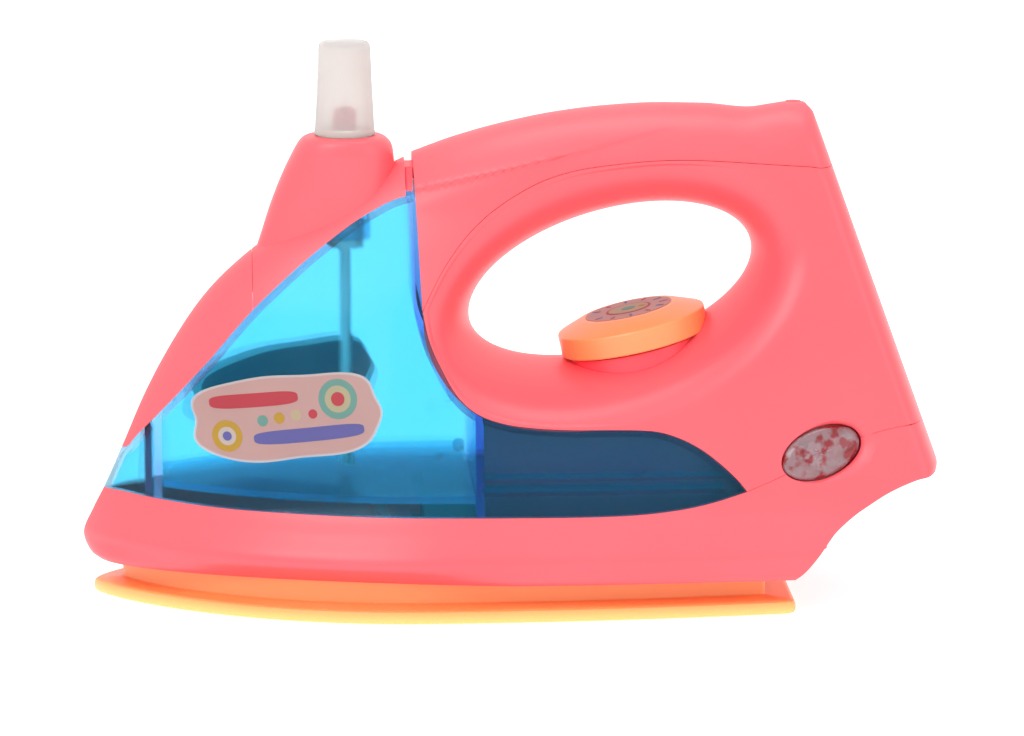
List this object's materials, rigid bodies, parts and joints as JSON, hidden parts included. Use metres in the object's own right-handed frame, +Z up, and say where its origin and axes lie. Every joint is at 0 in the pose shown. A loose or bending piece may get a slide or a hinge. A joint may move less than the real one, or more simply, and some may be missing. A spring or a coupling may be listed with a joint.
{
  "type": "toy steam iron",
  "caption": "Toy steam iron with a clear water tank, a capped mist pump, a turning dial under the grip, side lamps and a battery case in the sole.",
  "frame": {"origin": "middle of the overall box in plan, on the plane that the sole rests on", "axes": "+X towards the heel, so the nose points along -X; +Y towards the far side of the picture; +Z up"},
  "size_m": [0.194, 0.085, 0.1261],
  "materials": {
    "orange_plastic": "glossy moulded orange plastic",
    "pink_plastic": "glossy moulded coral pink plastic",
    "red_plastic": "glossy moulded coral red plastic",
    "blue_clear_plastic": "clear cyan moulded plastic",
    "screw_steel": "zinc plated steel",
    "printed_film": "printed plastic film",
    "frosted_plastic": "frosted translucent plastic",
    "rose_plastic": "glossy rose plastic",
    "white_plastic": "natural white plastic",
    "spring_steel": "bright spring steel",
    "black_rubber": "soft black rubber",
    "dial_plastic": "glossy moulded light orange plastic",
    "contact_brass": "bare brass",
    "brown_board": "brown laminate board",
    "lens_plastic": "clear domed plastic",
    "cup_plastic": "deep red plastic",
    "lamp_plastic": "milky lamp body",
    "green_board": "green laminate board",
    "black_plastic": "black moulded plastic",
    "cell_metal": "wrapped dry cell",
    "contact_steel": "nickel plated sheet"
  },
  "bodies": {
    "iron": {"soleplate": "orange_plastic", "battery_door": "orange_plastic", "base_housing": "pink_plastic", "nose_cover": "pink_plastic", "spray_turret": "pink_plastic", "handle_cover": "pink_plastic", "body_left": "pink_plastic", "body_right": "pink_plastic", "dial_bush": "red_plastic", "tank_shell": "blue_clear_plastic", "tank_floor": "blue_clear_plastic", "sole_screws": "screw_steel", "body_screws": "screw_steel", "board_screws": "screw_steel", "door_screw": "screw_steel", "label_left": "printed_film", "label_right": "printed_film", "pump_collar": "white_plastic", "pump_cylinder": "white_plastic", "dip_tube": "white_plastic", "pump_spring": "spring_steel", "valve_ball": "spring_steel", "neck_gasket": "black_rubber", "switch_plate": "brown_board", "lens_left": "lens_plastic", "lens_right": "lens_plastic", "lamp_cup_left": "cup_plastic", "lamp_cup_right": "cup_plastic", "lamps": "lamp_plastic", "circuit_board": "green_board", "board_chips": "black_plastic", "sounder": "black_plastic", "battery_case": "black_plastic", "battery_cells": "cell_metal", "battery_contacts": "contact_steel"},
    "cap": {"spray_cap": "frosted_plastic"},
    "pump_button": {"spray_button": "rose_plastic", "pump_stem": "white_plastic"},
    "dial": {"dial_knob": "dial_plastic", "dial_disc": "printed_film", "dial_wiper": "contact_brass", "dial_screw": "screw_steel"}
  },
  "joints": [
    {"name": "cap_lift", "type": "slide", "parent": "iron", "child": "cap", "axis": [0, 0, 1], "range_m": [0, 0.03]},
    {"name": "spray_press", "type": "slide", "parent": "iron", "child": "pump_button", "axis": [0, 0, -1], "range_m": [0, 0.003], "stiffness_N_per_m": 200, "springref_m": -0.002, "deforming": ["pump_spring"]},
    {"name": "dial_turn", "type": "hinge", "parent": "iron", "child": "dial", "pos_m": [0.0285, 0, 0.0594], "axis": [-0.2164, 0, 0.9763], "range_deg": [-135, 135]}
  ]
}
